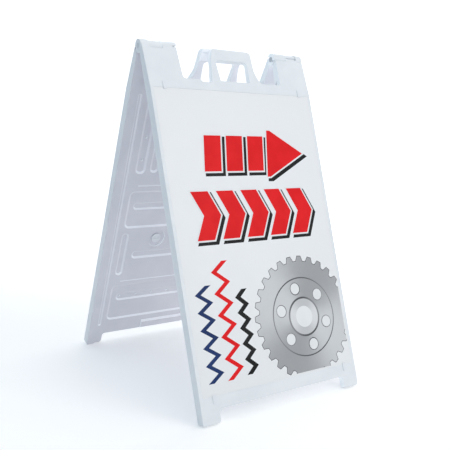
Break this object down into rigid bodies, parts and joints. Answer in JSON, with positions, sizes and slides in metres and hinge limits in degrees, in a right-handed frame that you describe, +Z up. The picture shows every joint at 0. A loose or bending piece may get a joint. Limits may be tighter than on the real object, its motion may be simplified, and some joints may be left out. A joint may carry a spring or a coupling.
{
  "type": "a-frame sign",
  "caption": "Folding plastic pavement sign: two hinged hollow panels with recessed sign faces, moulded feet and a carrying handle.",
  "frame": {"origin": "on the ground, midway between the four feet, under the hinge axis", "axes": "+X along the hinge axis to the right as seen from the front, +Y from the front panel to the rear panel, +Z up"},
  "size_m": [0.622, 0.8318, 1.0723],
  "materials": {
    "panel_plastic": "satin blow-moulded",
    "pin_steel": "zinc plated",
    "nut_steel": "spring steel",
    "printed_sheet": "printed semi-gloss",
    "clip_plastic": "satin",
    "plug_plastic": "satin",
    "gasket_rubber": "matt"
  },
  "bodies": {
    "front_leaf": {"front_panel": "panel_plastic", "left_hinge_pin": "pin_steel", "left_push_nut": "nut_steel", "front_sheet": "printed_sheet", "front_sheet_clips": "clip_plastic"},
    "rear_leaf": {"rear_panel": "panel_plastic", "right_hinge_pin": "pin_steel", "right_push_nut": "nut_steel", "rear_sheet": "printed_sheet", "rear_sheet_clips": "clip_plastic"},
    "front_plug": {"front_fill_plug": "plug_plastic", "front_plug_gasket": "gasket_rubber"},
    "rear_plug": {"rear_fill_plug": "plug_plastic", "rear_plug_gasket": "gasket_rubber"}
  },
  "joints": [
    {"name": "leaf_fold", "type": "hinge", "parent": "front_leaf", "child": "rear_leaf", "pos_m": [0, 0, 1.05225], "axis": [-1, 0, 0], "range_deg": [0, 40.2]},
    {"name": "front_plug_pull", "type": "slide", "parent": "front_leaf", "child": "front_plug", "axis": [0, 0.9391, -0.3437], "range_m": [0, 0.016]},
    {"name": "rear_plug_pull", "type": "slide", "parent": "rear_leaf", "child": "rear_plug", "axis": [0, -0.9391, -0.3437], "range_m": [0, 0.016]}
  ]
}
